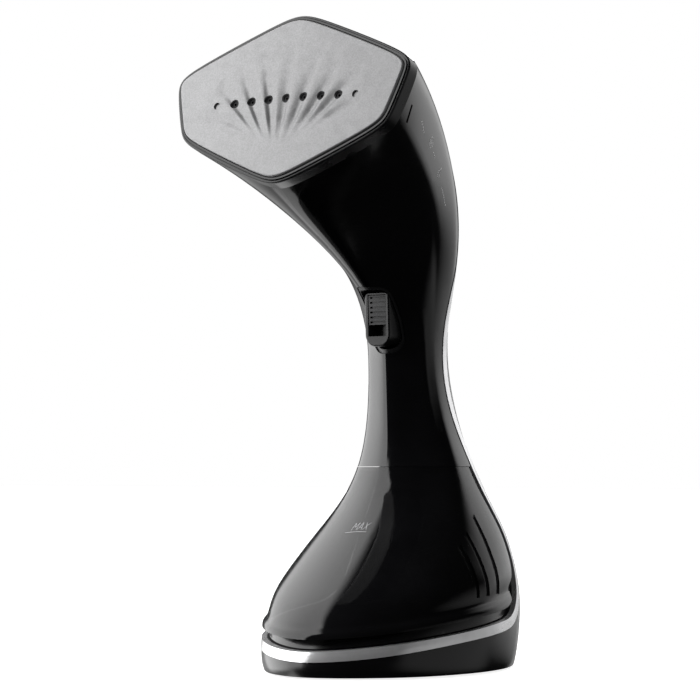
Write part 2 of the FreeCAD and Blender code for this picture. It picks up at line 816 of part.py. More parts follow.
def trigger_surround():
    """Sunken frame around the trigger."""
    outer = rounded_prism(half + SURROUND_WIDE, chin - CHIN_GAP - 1.8, top + SURROUND_WIDE - 0.1,
                          7.0, 3.6, -19, 20)
    inner = rounded_prism(half + SURROUND_GAP, chin - CHIN_GAP, top + SURROUND_GAP, 6.0, 2.6, -25, 25)
    layer = body_form(0.7).cut(body_form(2.3))
    return layer.common(outer).cut(inner)


WINDOW = (-4.8, 4.8, -8.3, 10.5)  # the slider window in the trigger's own frame
WINDOW_FLOOR = -6.6
SLIDER_TOP = -0.35
RIB_COUNT = 6
RIB_PITCH = 2.2
RIB_GROOVE = 0.9


def outer_edges(shape, level):
    """The edges of a shape that lie at one height in the trigger's own frame."""
    back = TRIGGER.inverse()
    return [e for e in shape.Edges
            if all(abs(back.multVec(p).z - level) < 1e-4 for p in (e.valueAt(e.FirstParameter),
                                                                    e.valueAt(e.LastParameter)))]


def steam_trigger():
    """Rocker pressed by the index finger, proud of the handle towards its chin."""
    block = rounded_prism(half, chin, top, 5.6, 2.2, mm("triggerBack"), 0)
    block = block.makeFillet(0.9, outer_edges(block, 0))
    window = local_box(TRIGGER, WINDOW[0], WINDOW[1], WINDOW[2], WINDOW[3], WINDOW_FLOOR, 20)
    hollow = local_box(TRIGGER, -5.2, 5.2, -11.2, 5.4, mm("triggerBack") - 1, -8.8)
    pin_hole = Part.makeCylinder(mm("pinRadius") + mm("runningFit"), 30,
                                 V(-15, mm("pinAlong"), mm("pinDepth")), X_AXIS)
    pin_hole.Placement = TRIGGER
    nub = Part.makeCylinder(1.4, 5.0, V(0, 3.0, -13.2), Z_AXIS)
    nub.Placement = TRIGGER
    nose = Part.makeCylinder(1.6, 3.0, V(0, -7.6, -11.0), Z_AXIS)
    nose.Placement = TRIGGER
    return block.cut(window).cut(hollow).fuse([nub, nose]).cut(pin_hole)


def lock_slider():
    """Ribbed thumb slider in the trigger's window: up to lock, down for steady steam."""
    low, high = mm("sliderLow"), mm("sliderHigh")
    wide = mm("sliderHalf")
    block = local_box(TRIGGER, -wide, wide, low, high, WINDOW_FLOOR + 0.25, SLIDER_TOP)
    for i in range(RIB_COUNT):
        v = low + 0.7 + i * RIB_PITCH
        groove = local_box(TRIGGER, -wide + 0.8, wide + 1, v, v + RIB_GROOVE, SLIDER_TOP - 0.9, 20)
        block = block.cut(groove)
    return block


feature("trigger_surround", largest(trigger_surround()))
feature("steam_trigger", largest(steam_trigger()))
feature("lock_slider", largest(lock_slider()))

trigger_pin = bound_cylinder("trigger_pin_rod", size("pinRadius"), 16.4,
                             TRIGGER.multiply(FreeCAD.Placement(V(-8.2, mm("pinAlong"), mm("pinDepth")),
                                                                FreeCAD.Rotation(V(0, 1, 0), 90))))
keep(trigger_pin, "trigger_pin")


def trigger_bracket():
    """U-shaped bracket behind the trigger: two cheeks for the pin and a back plate."""
    cheeks = [local_box(TRIGGER, side * 7.8 - 0.6, side * 7.8 + 0.6, -12.5, 11.5, -22.2, -7.4)
              for side in (-1, 1)]
    back = local_box(TRIGGER, -8.4, 8.4, -12.5, 11.5, -24.0, -22.2)
    pin_hole = Part.makeCylinder(mm("pinRadius"), 30, V(-15, mm("pinAlong"), mm("pinDepth")), X_AXIS)
    pin_hole.Placement = TRIGGER
    return back.fuse(cheeks).cut(pin_hole).common(body_form(mm("wall") + 0.3))


feature("trigger_bracket", largest(trigger_bracket()))

# The switch sits level, so that its plunger moves along Y.
switch_foot = TRIGGER.multVec(V(0, 3.0, -21.9))
switch_frame = at(0, switch_foot.y, switch_foot.z, X_AXIS, 90)
microswitch = padded("microswitch", 6.0, rectangle(-3.0, 3.0, -6.4, 6.4), placement=switch_frame)
pocket(microswitch, "switch_bore", 3.2, circles=[(0, 0, 1.5)], lift=6.0)
switch_button = turned("switch_button", [(0, 0), (1.4, 0), (1.4, 4.5), (0, 4.5)],
                       switch_frame.multiply(at(0, 0, 3.8)))


feature("trigger_spring", coil(2.3, 0.35, 11.9, 6, TRIGGER.multiply(at(0, -7.6, -22.0))))

# ---------------------------------------------------------------- steam head

plate_thick = mm("plateThick")


def hex_prism(outset, n_low, n_high, shrink=0.0):
    """A prism along the plate's normal on the plate outline, moved out or scaled in."""
    curve = Part.BSplineCurve()
    poles = plate_ring(outset, n_low, shrink=shrink)
    curve.buildFromPolesMultsKnots(poles, [1] * 19, list(range(19)), True, 3)
    prism = Part.Face(Part.Wire([curve.toShape()])).extrude(V(0, 0, n_high - n_low))
    return prism


def port_spots(numbers):
    """Port centres along a slightly arched row."""
    return [(i * mm("portPitch"), -mm("portSag") * (i / 4.0) ** 2) for i in numbers]


def front_edges(shape, level):
    return [e for e in shape.Edges
            if abs(e.BoundBox.ZMin - level) < 1e-4 and abs(e.BoundBox.ZMax - level) < 1e-4]


def soleplate():
    """Aluminium steam plate with seven ports and a blind recess at each end of the row."""
    plate = hex_prism(0, -plate_thick, 0)
    plate = plate.makeFillet(0.9, front_edges(plate, 0))
    for x, v in port_spots(range(-3, 4)):
        plate = plate.cut(Part.makeCylinder(mm("portRadius"), 10, V(x, v, -5), Z_AXIS))
    for x, v in port_spots((-4, 4)):
        plate = plate.cut(Part.makeCylinder(1.6, 3, V(x, v, -1.0), Z_AXIS))
    return plate


def plate_bezel():
    """Stepped black rim: outer lip, groove, inner lip and a shoulder behind the plate."""
    depth = mm("bezelDepth")
    rim = hex_prism(mm("bezelOutset"), -depth, -1.6)
    rim = rim.makeFillet(0.8, front_edges(rim, -1.6))
    rim = rim.fuse(hex_prism(1.15, -depth, -0.9))
    rim = rim.cut(hex_prism(1.6, -2.5, 5).cut(hex_prism(1.15, -3, 5)))
    rim = rim.cut(hex_prism(0.35, -3.5, 5))
    return rim.cut(hex_prism(-3.0, -depth - 1, 5))


feature("soleplate", soleplate(), HEAD)
feature("plate_bezel", largest(plate_bezel()), HEAD)

nozzle = turned("steam_nozzle_one", [
    (size("portBore"), 0), (size("portRadius"), 0), (size("portRadius"), 2.2), (1.5, 2.2),
    (1.5, 1.7), (size("portBore"), 1.7)], exported=False)
nozzle_spots = [at(x, v, -plate_thick) for x, v in port_spots(range(-3, 4))]
feature("steam_nozzles", copies(nozzle, nozzle_spots), HEAD)

GASKET_THICK = 1.0
GASKET_SHRINK = 4.2
CASTING_SHRINK = 8.5
CHAMBER_SHRINK = 12.5
casting_front = -plate_thick - GASKET_THICK
casting_back = casting_front - mm("castingDepth")
CHAMBER_FLOOR = casting_front - 4.6
ELEMENT_DEPTH = casting_front - 9.0
cover_back = casting_back - mm("coverThick")
SCREW_SPOTS = [(-33, 4), (33, 4), (-19, 17), (19, 17), (-19, -17.5), (19, -17.5)]
INLET_SPOT = (-4.0, 8.0)

feature("plate_gasket", hex_prism(0, casting_front, -plate_thick, GASKET_SHRINK).cut(
    hex_prism(0, -10, 0, CHAMBER_SHRINK - 0.5)), HEAD)


def u_path(x_start, x_bend, radius, depth):
    """A hairpin: two straight legs joined by a half circle."""
    legs = [Part.makeLine(V(x_start, radius, depth), V(x_bend, radius, depth)),
            Part.Arc(V(x_bend, radius, depth), V(x_bend + radius, 0, depth),
                     V(x_bend, -radius, depth)).toShape(),
            Part.makeLine(V(x_bend, -radius, depth), V(x_start, -radius, depth))]
    return Part.Wire(legs)


def pipe(path, radius):
    first = path.Edges[0]
    start = first.valueAt(first.FirstParameter)
    along = first.tangentAt(first.FirstParameter)
    profile = Part.Wire([Part.makeCircle(radius, start, along)])
    return path.makePipeShell([profile], True, False)


def boiler_casting():
    """Cast steam chamber with the heating element's channel and tapped screw holes."""
    block = hex_prism(0, casting_back, casting_front, CASTING_SHRINK)
    block = block.cut(hex_prism(0, CHAMBER_FLOOR, casting_front + 1, CHAMBER_SHRINK))
    block = block.cut(pipe(u_path(-60, 16, 10, ELEMENT_DEPTH), mm("elementRadius") + 0.05))
    for x, v in SCREW_SPOTS:
        block = block.cut(Part.makeCylinder(mm("screwRadius"), 7.5, V(x, v, casting_back - 0.5), Z_AXIS))
    x, v = INLET_SPOT
    return block.cut(Part.makeCylinder(1.2, 40, V(x, v - 8, casting_back - 1), Z_AXIS))


feature("boiler_casting", largest(boiler_casting()), HEAD)


def heating_element():
    """Hairpin heater with a thin cold pin at each end."""
    body = pipe(u_path(-44, 16, 10, ELEMENT_DEPTH), mm("elementRadius"))
    pins = [Part.makeCylinder(1.1, 4.5, V(-48, side * 10, ELEMENT_DEPTH), X_AXIS) for side in (-1, 1)]
    return body.fuse(pins)


feature("heating_element", heating_element(), HEAD)


def boiler_cover():
    plate = hex_prism(0, cover_back, casting_back, CASTING_SHRINK)
    for x, v in SCREW_SPOTS:
        plate = plate.cut(Part.makeCylinder(mm("screwRadius") + 0.2, 5, V(x, v, cover_back - 1), Z_AXIS))
    x, v = INLET_SPOT
    return plate.cut(Part.makeCylinder(2.0, 5, V(x, v, cover_back - 1), Z_AXIS))


feature("boiler_cover", boiler_cover(), HEAD)

boiler_screw = turned("boiler_screw_one", [
    (0, 0), (size("screwHead"), 0), (size("screwHead"), 1.8), (size("screwRadius") - 0.05, 1.8),
    (size("screwRadius") - 0.05, 9.6), (0, 9.6)], exported=False)
feature("boiler_screws", copies(boiler_screw, [at(x, v, cover_back - 1.8) for x, v in SCREW_SPOTS]), HEAD)

boiler_inlet = turned("boiler_inlet", [
    (0.8, 0), (0.8, 12.5), (size("barbRadius") - 0.2, 12.5),
    (size("barbRadius") - 0.2, 11.5), (size("barbRadius"), 11.0),
    (size("barbRadius"), 4.5), (5.0, 3.5), (5.0, 1.5), (1.95, 1.5), (1.95, 0)],
    HEAD.multiply(FreeCAD.Placement(V(INLET_SPOT[0], INLET_SPOT[1], casting_back),
                                    FreeCAD.Rotation(X_AXIS, 180))))
thermostat = turned("thermostat", [(0, 0), (9.0, 0), (9.0, 1.2), (7.6, 1.2), (7.6, 7.0), (0, 7.0)],
                    HEAD.multiply(at(11.0, -6.5, cover_back, X_AXIS, 180)))
thermal_fuse = turned("thermal_fuse", [(0, 0), (0.5, 0), (0.5, 8), (2.0, 8.6),
                                       (2.0, 19.4), (0.5, 20), (0.5, 28), (0, 28)],
                      HEAD.multiply(FreeCAD.Placement(V(-40, -7.0, cover_back - 2.1),
                                                      FreeCAD.Rotation(V(0, 1, 0), 90))))

# ---------------------------------------------------------------- pump, hoses and electrics

PUMP_SPOT = (-13.0, 48.4)
PUMP_FOOT = 12.0
PUMP_INLET_UP = 3.6
pump_top = size("pumpHeight")
water_pump = turned("water_pump", [
    (0, 0), (8.6, 0), (8.6, 3.0), (size("pumpRadius"), 4.0), (size("pumpRadius"), pump_top - 6.0),
    (7.0, pump_top - 5.0), (7.0, pump_top), (3.5, pump_top), (3.5, pump_top + 2.0),
    (size("barbRadius"), pump_top + 3.0), (size("barbRadius"), pump_top + 9.0), (0, pump_top + 9.0)],
    at(PUMP_SPOT[0], PUMP_SPOT[1], PUMP_FOOT))
inlet_sketch = new_sketch(water_pump, "pump_inlet", "YZ_Plane")
inlet_sketch.AttachmentOffset = at(0, 0, 7.0)
draw_circle(inlet_sketch, 0, PUMP_INLET_UP, size("barbRadius"))
inlet_pad = water_pump.newObject("PartDesign::Pad", "pump_inlet_pad")
inlet_pad.Profile = inlet_sketch
inlet_pad.Length = 9.0
doc.recompute()


tank_bay = side_prism(("curve", shifted(trimmed_below(BAND_INNER, handle_floor), -2.3)),
                      ("line", [(-REACH, handle_floor), (-REACH, BAND_INNER[0][1])]))


def pump_cradle():
    """Half-round saddle that holds the pump against the dock wall."""
    centre = V(PUMP_SPOT[0], PUMP_SPOT[1], PUMP_FOOT + 8)
    band = Part.makeCylinder(mm("pumpRadius") + 1.3, 7.0, centre, Z_AXIS)
    band = band.cut(Part.makeCylinder(mm("pumpRadius") + 0.02, 8.0, centre - V(0, 0, 0.5), Z_AXIS))
    band = band.cut(Part.makeBox(40, 40, 20, centre + V(-20, 4, -5)))
    return band.cut(tank_bay)


feature("pump_cradle", largest(pump_cradle()))


def hose_route(points):
    """Straight runs joined by tangent arcs, each as large as its two runs allow."""
    spots = [V(*p) for p in points]
    edges = []
    at_point = spots[0]
    for i in range(1, len(spots) - 1):
        back = spots[i - 1] - spots[i]
        ahead = spots[i + 1] - spots[i]
        turn = math.pi - back.getAngle(ahead)
        reach = 0.45 * min(back.Length, ahead.Length)
        radius = reach / math.tan(turn / 2)
        back.normalize()
        ahead.normalize()
        first = spots[i] + back * reach
        second = spots[i] + ahead * reach
        inward = (back + ahead).normalize()
        middle = spots[i] + inward * (radius / math.cos(turn / 2) - radius)
        edges.append(Part.makeLine(at_point, first))
        edges.append(Part.Arc(first, middle, second).toShape())
        at_point = second
    edges.append(Part.makeLine(at_point, spots[-1]))
    return Part.Wire(edges)


def hose(points):
    route = hose_route(points)
    return pipe(route, mm("hoseRadius")).cut(pipe(route, mm("hoseBore")))


def head_point(x, v, n):
    p = HEAD.multVec(V(x, v, n))
    return (p.x, p.y, p.z)


SOCKET_Y = 34.5
inlet_z = PUMP_FOOT + PUMP_INLET_UP
feature("suction_hose", hose([(PUMP_SPOT[0] + 10.5, PUMP_SPOT[1], inlet_z), (9, PUMP_SPOT[1], inlet_z),
                              (19, 48.4, 22), (21, 48, 35), (19, SOCKET_Y + 8, valve_z),
                              (9.5, SOCKET_Y + 8, valve_z)]))
inlet_tip = head_point(INLET_SPOT[0], INLET_SPOT[1], casting_back - 5.0)
inlet_lead = head_point(INLET_SPOT[0], INLET_SPOT[1], casting_back - 32.0)
feature("feed_hose", hose([(PUMP_SPOT[0], PUMP_SPOT[1], PUMP_FOOT + mm("pumpHeight") + 3.5),
                           (PUMP_SPOT[0], PUMP_SPOT[1], 57), (-11, 42.5, 74), (-8, 34, 92), (-5, 25.5, 116),
                           (-4, 21, 142), (-4, 19, 168), (-4, 11, 194), (-4, -6, 217),
                           inlet_lead, inlet_tip]))


def tank_socket():
    """Cup behind the dock that takes the tank's spigot, with a probe for its valve and a side barb."""
    axis = V(0, 1, 0)
    foot = V(0, SOCKET_Y, valve_z)
    cup = Part.makeCylinder(10.5, 1.6, foot, axis).fuse(Part.makeCylinder(8.0, 12.4, foot, axis))
    cup = cup.cut(Part.makeCylinder(mm("spigotRadius") + 0.3, 10.4, foot, axis))
    cup = cup.cut(Part.makeCylinder(6.6, 2.2, foot + axis * 1.6, axis))
    probe = Part.makeCylinder(1.1, 5.2, foot + axis * 5.4, axis)
    side = foot + axis * 8.0
    barb = Part.makeCylinder(mm("barbRadius"), 8.5, side + V(7.0, 0, 0), X_AXIS)
    bore = Part.makeCylinder(0.8, 12, side + V(4.5, 0, 0), X_AXIS)
    return cup.fuse([probe, barb]).cut(bore)


feature("tank_socket", largest(tank_socket()))
socket_seal = turned("socket_seal", [
    (size("spigotRadius") + 0.08, 0), (6.55, 0), (6.55, 2.0), (size("spigotRadius") + 0.08, 2.0)],
    at(0, SOCKET_Y + 1.7, valve_z, X_AXIS, -90))

BOARD_X = 5.6
control_board = padded("control_board", 1.6, rectangle(-10, 10, -20, 20),
                       circles=[(-7.5, -17, 1.3), (7.5, 17, 1.3)],
                       placement=FreeCAD.Placement(V(BOARD_X, 13, 118), FreeCAD.Rotation(V(0.5, 0.5, 0.5), 120)))
relay = bound_box("relay_case", 8.0, 10.0, 15.0, at(BOARD_X - 8.0, 4.5, 101))
keep(relay, "relay")
capacitor = bound_cylinder("capacitor_can", 3.2, 8.0,
                           FreeCAD.Placement(V(BOARD_X - 8.0, 9.0, 124), FreeCAD.Rotation(V(0, 1, 0), 90)))
keep(capacitor, "capacitor")

cord_gland = turned("cord_gland", [
    (size("glandBore"), 0), (5.5, 0), (5.5, 1.6), (size("glandRadius"), 1.6), (size("glandRadius"), 9.4),
    (size("glandRadius") - 0.5, 10.2), (size("glandRadius") - 0.9, 16.8), (size("glandBore"), 16.8)],
    at(0, 60.2, mm("glandZ"), X_AXIS, -90))

clamp_block = bound_box("clamp_block", 20.0, 6.0, size("glandZ") - 3.4, at(-10, 54, 3.1))
clamp_groove = bound_cylinder("clamp_groove", size("glandBore") - 0.2, 10.0,
                              at(0, 52, mm("glandZ"), X_AXIS, -90))
cord_clamp = cut_from("cord_clamp_cut", clamp_block, clamp_groove)
keep(cord_clamp, "cord_clamp")

# ---------------------------------------------------------------- bottom


def base_cover():
    """Floor plate: counterbored screw holes, a notch for the gland and a recess for the pad."""
    plate = body_form(mm("wall") + 0.15).common(slab(floor_low, floor_high))
    for x, y in BASE_SCREWS:
        plate = plate.cut(Part.makeCylinder(1.7, 10, V(x, y, -2), Z_AXIS))
        plate = plate.cut(Part.makeCylinder(3.0, 2.0, V(x, y, floor_low - 1), Z_AXIS))
    plate = plate.cut(Part.makeCylinder(5.8, 2.4, V(0, 59.8, mm("glandZ")), V(0, 1, 0)))
    return plate.cut(pad_outline(0.1, floor_low - 1, floor_low + 0.6))


def pad_outline(gap, low, high):
    oval = Part.Ellipse(V(0, 0, low), mm("padLong") + gap, mm("padHalf") + gap).toShape()
    face = Part.Face(Part.Wire([oval]))
    face.rotate(V(0, 0, 0), Z_AXIS, 90)
    return face.extrude(V(0, 0, high - low))


feature("base_cover", largest(base_cover()))
feature("base_pad", pad_outline(0.0, 0.0, floor_low + 0.55))
base_screw = turned("base_screw_one", [(0, 0), (2.7, 0), (2.7, 0.9), (1.4, 0.9),
                                       (1.4, 9.0), (0, 9.0)], exported=False)
feature("base_screws", copies(base_screw, [at(x, y, floor_low + 0.1) for x, y in BASE_SCREWS]))

# ---------------------------------------------------------------- check and export

doc.recompute()
failed = [thing.Label for thing in doc.Objects if {"Invalid", "Error"} & set(thing.State)]
unsound = [made.Label for made in parts_made if made.Shape.isNull() or not made.Shape.isValid()]
if failed or unsound:
    raise RuntimeError("objects in error: %s; parts not sound: %s" % (failed, unsound))

os.makedirs("parts", exist_ok=True)
for made in parts_made:
    made.Shape.exportStep("parts/%s.step" % made.Label)
print("parts written:", len(parts_made))
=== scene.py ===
"""Looks of the handheld garment steamer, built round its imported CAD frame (metres)."""
import json
import math

import bmesh
import bpy
import numpy as np
from mathutils import Matrix, Vector
from mathutils.bvhtree import BVHTree


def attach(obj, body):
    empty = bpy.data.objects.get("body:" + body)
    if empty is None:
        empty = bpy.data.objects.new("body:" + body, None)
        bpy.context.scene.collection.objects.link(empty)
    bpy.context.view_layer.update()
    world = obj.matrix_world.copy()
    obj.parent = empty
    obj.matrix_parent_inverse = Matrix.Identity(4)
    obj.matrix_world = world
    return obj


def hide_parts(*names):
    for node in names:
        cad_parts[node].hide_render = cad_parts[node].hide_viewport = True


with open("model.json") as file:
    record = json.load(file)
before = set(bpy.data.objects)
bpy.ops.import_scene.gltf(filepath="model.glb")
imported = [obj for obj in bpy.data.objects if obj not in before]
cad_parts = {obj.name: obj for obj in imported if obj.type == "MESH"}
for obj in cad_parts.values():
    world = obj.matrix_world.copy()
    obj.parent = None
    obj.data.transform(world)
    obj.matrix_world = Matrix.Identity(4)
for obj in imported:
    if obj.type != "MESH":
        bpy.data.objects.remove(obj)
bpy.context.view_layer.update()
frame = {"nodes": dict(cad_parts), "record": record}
nodes = frame["nodes"]
MM = 0.001


# ---------------------------------------------------------------- node helpers

def add(tree, kind, inputs=None, **settings):
    """A shader node with its settings, and with its inputs linked or set."""
    node = tree.nodes.new(kind)
    for key, value in settings.items():
        setattr(node, key, value)
    for key, value in (inputs or {}).items():
        if isinstance(value, bpy.types.NodeSocket):
            tree.links.new(value, node.inputs[key])
        else:
            node.inputs[key].default_value = value
    return node


def calc(tree, operation, *values):
    """One maths node on the given values."""
    node = add(tree, "ShaderNodeMath", dict(enumerate(values)), operation=operation)
    return node.outputs[0]


def ramp(tree, value, low, high, to_low=0.0, to_high=1.0, smooth=True):
    """Maps a value from one range to another, held at both ends."""
    node = add(tree, "ShaderNodeMapRange",
               {"Value": value, "From Min": low, "From Max": high, "To Min": to_low, "To Max": to_high},
               interpolation_type="SMOOTHSTEP" if smooth else "LINEAR")
    return node.outputs["Result"]


def noise(tree, place, scale, detail=3.0, roughness=0.5):
    """Fractal noise between 0 and 1."""
    node = add(tree, "ShaderNodeTexNoise",
               {"Vector": place, "Scale": scale, "Detail": detail, "Roughness": roughness})
    return node.outputs["Fac"]


# ---------------------------------------------------------------- materials

def material(name, colour, sockets, grain=None, mottle=None, shade=None):
    """A Principled material.

    grain: (scale, strength, distance) of fine bump; mottle: (scale, low, high) of
    roughness; shade: (scale, darkest, lightest) of the colour's own variation.
    """
    made = bpy.data.materials.new(name)
    made.use_nodes = True
    tree = made.node_tree
    shader = tree.nodes["Principled BSDF"]
    shader.inputs["Base Color"].default_value = (*colour, 1)
    for key, value in sockets.items():
        shader.inputs[key].default_value = value
    place = add(tree, "ShaderNodeTexCoord").outputs["Object"]
    if mottle:
        scale, low, high = mottle
        tree.links.new(ramp(tree, noise(tree, place, scale, 4.0), 0.35, 0.65, low, high),
                       shader.inputs["Roughness"])
    if shade:
        scale, dark, light = shade
        level = ramp(tree, noise(tree, place, scale, 5.0, 0.6), 0.3, 0.7, dark, light)
        tint = add(tree, "ShaderNodeMix", {"Factor": 1.0, 6: (*colour, 1), 7: level},
                   data_type="RGBA", blend_type="MULTIPLY")
        tree.links.new(tint.outputs[2], shader.inputs["Base Color"])
    if grain:
        scale, strength, distance = grain
        height = noise(tree, place, scale, 2.0)
        bump = add(tree, "ShaderNodeBump",
                   {"Height": height, "Strength": strength, "Distance": distance})
        tree.links.new(bump.outputs["Normal"], shader.inputs["Normal"])
    return made


gloss = {"IOR": 1.5, "Specular IOR Level": 0.5}
MATERIALS = {
    "gloss_black": material("gloss_black", (0.0035, 0.0035, 0.004), {**gloss, "Roughness": 0.1},
                            grain=(260, 0.03, 0.0001), mottle=(38, 0.09, 0.15), shade=(60, 0.8, 1.2)),
    "gloss_black_base": material("gloss_black_base", (0.004, 0.004, 0.0045), gloss,
                                 grain=(300, 0.04, 0.0001), mottle=(45, 0.16, 0.24), shade=(60, 0.8, 1.2)),
    "matte_black": material("matte_black", (0.012, 0.012, 0.013), gloss,
                            grain=(1400, 0.25, 0.0001), mottle=(80, 0.42, 0.55), shade=(90, 0.8, 1.25)),
    "bezel_black": material("bezel_black", (0.006, 0.006, 0.0065), gloss,
                            grain=(700, 0.08, 0.0001), mottle=(60, 0.2, 0.3), shade=(90, 0.8, 1.2)),
    "trigger_black": material("trigger_black", (0.006, 0.006, 0.0065), gloss,
                              grain=(900, 0.1, 0.0001), mottle=(70, 0.24, 0.34), shade=(90, 0.8, 1.2)),
    "slider_black": material("slider_black", (0.01, 0.01, 0.011), gloss,
                             grain=(1300, 0.2, 0.0001), mottle=(90, 0.35, 0.48), shade=(110, 0.8, 1.25)),
    "smoked_clear": material("smoked_clear", (0.004, 0.004, 0.0045),
                             {"IOR": 1.49, "Alpha": 0.86, "Specular IOR Level": 0.5},
                             grain=(180, 0.02, 0.0001), mottle=(30, 0.04, 0.08), shade=(50, 0.8, 1.2)),
    "bright_trim": material("bright_trim", (0.9, 0.9, 0.91), {"Metallic": 0.7},
                            grain=(900, 0.03, 0.0001), mottle=(70, 0.2, 0.28), shade=(120, 0.95, 1.05)),
    "plate_aluminium": material("plate_aluminium", (0.235, 0.235, 0.238), {"Metallic": 0.45},
                                grain=(2200, 0.35, 0.0001), mottle=(300, 0.3, 0.4),
                                shade=(1500, 0.88, 1.12)),
    "port_metal": material("port_metal", (0.012, 0.012, 0.013), {"Specular IOR Level": 0.16},
                           grain=(1500, 0.1, 0.0001), mottle=(200, 0.4, 0.5), shade=(300, 0.8, 1.2)),
    "silicone": material("silicone", (0.36, 0.36, 0.35), gloss,
                         grain=(900, 0.15, 0.0001), mottle=(90, 0.5, 0.62), shade=(90, 0.9, 1.1)),
    "rubber_black": material("rubber_black", (0.018, 0.018, 0.018), gloss,
                             grain=(1100, 0.3, 0.0001), mottle=(90, 0.6, 0.75), shade=(90, 0.8, 1.2)),
    "steel": material("steel", (0.55, 0.55, 0.56), {"Metallic": 1.0},
                      grain=(1500, 0.06, 0.0001), mottle=(150, 0.2, 0.32), shade=(200, 0.9, 1.1)),
    "spring_steel": material("spring_steel", (0.5, 0.5, 0.52), {"Metallic": 1.0},
                             grain=(2000, 0.08, 0.0001), mottle=(200, 0.18, 0.3), shade=(200, 0.9, 1.1)),
    "acetal": material("acetal", (0.62, 0.61, 0.57), gloss,
                       grain=(600, 0.06, 0.0001), mottle=(70, 0.3, 0.42), shade=(70, 0.94, 1.06)),
    "cast_aluminium": material("cast_aluminium", (0.45, 0.45, 0.46), {"Metallic": 0.9},
                               grain=(900, 0.4, 0.0002), mottle=(120, 0.45, 0.6), shade=(160, 0.8, 1.15)),
    "element_steel": material("element_steel", (0.3, 0.29, 0.28), {"Metallic": 1.0},
                              grain=(900, 0.15, 0.0001), mottle=(120, 0.35, 0.5), shade=(120, 0.8, 1.2)),
    "brass_fitting": material("brass_fitting", (0.72, 0.52, 0.24), {"Metallic": 1.0},
                              grain=(1200, 0.1, 0.0001), mottle=(140, 0.22, 0.36), shade=(140, 0.9, 1.1)),
    "circuit_board": material("circuit_board", (0.02, 0.14, 0.06), gloss,
                              grain=(500, 0.1, 0.0001), mottle=(90, 0.3, 0.42), shade=(350, 0.75, 1.2)),
    "print_grey": material("print_grey", (0.42, 0.42, 0.43), gloss,
                           grain=(1200, 0.05, 0.0001), mottle=(150, 0.4, 0.5), shade=(200, 0.9, 1.1)),
    "print_pale": material("print_pale", (0.8, 0.8, 0.81), gloss,
                           grain=(1200, 0.05, 0.0001), mottle=(150, 0.4, 0.5), shade=(200, 0.9, 1.1)),
    "relay_case": material("relay_case", (0.03, 0.06, 0.16), gloss,
                           grain=(600, 0.08, 0.0001), mottle=(80, 0.25, 0.38), shade=(80, 0.9, 1.1)),
}

# Painted shade: the plate's colour is darkened towards its right-hand end, standing in for light falling
# off across its face.
plate_tree = MATERIALS["plate_aluminium"].node_tree
plate_shader = plate_tree.nodes["Principled BSDF"]
plate_tone = plate_shader.inputs["Base Color"].links[0].from_socket
plate_place = add(plate_tree, "ShaderNodeTexCoord").outputs["Object"]
plate_across = add(plate_tree, "ShaderNodeSeparateXYZ", {"Vector": plate_place}).outputs["X"]
# painted shade ramp: full brightness at the left end, darker at the right
plate_painted_shade_level = ramp(plate_tree, plate_across, -0.045, 0.05, 1.12, 0.78, smooth=False)
plate_painted_shade_tint = add(plate_tree, "ShaderNodeMix", {"Factor": 1.0, 6: plate_tone, 7: plate_painted_shade_level},
                 data_type="RGBA", blend_type="MULTIPLY")
plate_tree.links.new(plate_painted_shade_tint.outputs[2], plate_shader.inputs["Base Color"])

slot_of = {part["node"]: part["material_slot"] for part in frame["record"]["subparts"]}
for name, thing in nodes.items():
    wanted = MATERIALS[slot_of[name]]
    for place in thing.material_slots:
        place.material = wanted
    if not thing.material_slots:
        thing.data.materials.append(wanted)

# ---------------------------------------------------------------- steam plate

# The plate's frame has its middle at the plate's centre, X across it and Z out of its face.
HEAD_LEAN = 15.8
HEAD_TURN = Matrix.Rotation(math.radians(90 - HEAD_LEAN), 4, "X")
HEAD = Matrix.Translation((0, -0.0895, 0.2487)) @ HEAD_TURN
PLATE_THICK = 3.2 * MM
PLATE_BEVEL = 0.9 * MM
# Ports on a shallow arc, numbered from the middle one; the last on each side is a blind dimple.
PORT_PITCH = 8.9 * MM
PORT_SAG = 1.2 * MM
LAST_PORT = 4
PORT_RADIUS = 2.08 * MM
DIMPLE_RADIUS = 1.6 * MM
DIMPLE_DEEP = 1.0 * MM


def surface_tree(*names):
    """One search tree over the meshes of some CAD nodes."""
    points, faces = [], []
    for name in names:
        first = len(points)
        points += [v.co.copy() for v in nodes[name].data.vertices]
        faces += [[first + i for i in face.vertices] for face in nodes[name].data.polygons]
    return BVHTree.FromPolygons(points, faces)


def new_piece(name, points, faces, body, slot, smooth=True):
    """A visual piece with its material, riding on one of the moving bodies."""
    mesh = bpy.data.meshes.new(name)
    mesh.from_pydata([tuple(p) for p in points], [], faces)
    mesh.update()
    piece = bpy.data.objects.new(name, mesh)
    bpy.context.collection.objects.link(piece)
    mesh.materials.append(MATERIALS[slot])
    for face in mesh.polygons:
        face.use_smooth = smooth
    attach(piece, body)
    return piece


def port_spot(i):
    """Centre of port i, counted from the middle one, on the plate."""
    return i * PORT_PITCH, -PORT_SAG * (i / LAST_PORT) ** 2


def outline(count):
    """The plate's edge as distances from its centre, at equal angles."""
    tree = surface_tree("soleplate")
    centre = HEAD @ Vector((0, 0, -PLATE_THICK * 0.6))
    turn = HEAD.to_3x3()
    reach = []
    for k in range(count):
        angle = 2 * math.pi * k / count
        ray = turn @ Vector((math.cos(angle), math.sin(angle), 0))
        hit = tree.ray_cast(centre + ray * 0.1, -ray)[0]
        reach.append((hit - centre).length)
    return np.array(reach)


